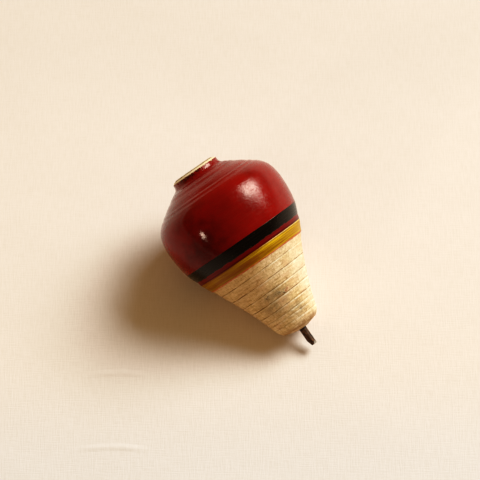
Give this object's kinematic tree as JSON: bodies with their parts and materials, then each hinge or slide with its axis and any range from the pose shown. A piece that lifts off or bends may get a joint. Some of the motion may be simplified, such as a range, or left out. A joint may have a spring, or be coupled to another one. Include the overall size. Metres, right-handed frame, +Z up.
{
  "type": "spinning top",
  "caption": "Turned wooden throwing top lying on its side: lacquered round belly, short neck, scribed bare cone and a blunt iron nail point.",
  "frame": {"origin": "on the floor, under the middle of the bounding box of the top as it lies at rest on its side", "axes": "+Z up from the floor; the spin axis lies in the XZ plane, with the crown towards -X and up and the nail towards +X and down"},
  "size_m": [0.0834, 0.0558, 0.0569],
  "materials": {
    "wood": "matte",
    "red_lac": "gloss",
    "black_lac": "gloss",
    "yellow_lac": "satin",
    "iron": "matte"
  },
  "bodies": {
    "root": {"wood_body": "wood", "red_lac_coat": "red_lac", "black_lac_band": "black_lac", "red_lac_stripe": "red_lac", "yellow_lac_band": "yellow_lac", "red_lac_edge_line": "red_lac", "iron_nail": "iron"}
  },
  "joints": []
}
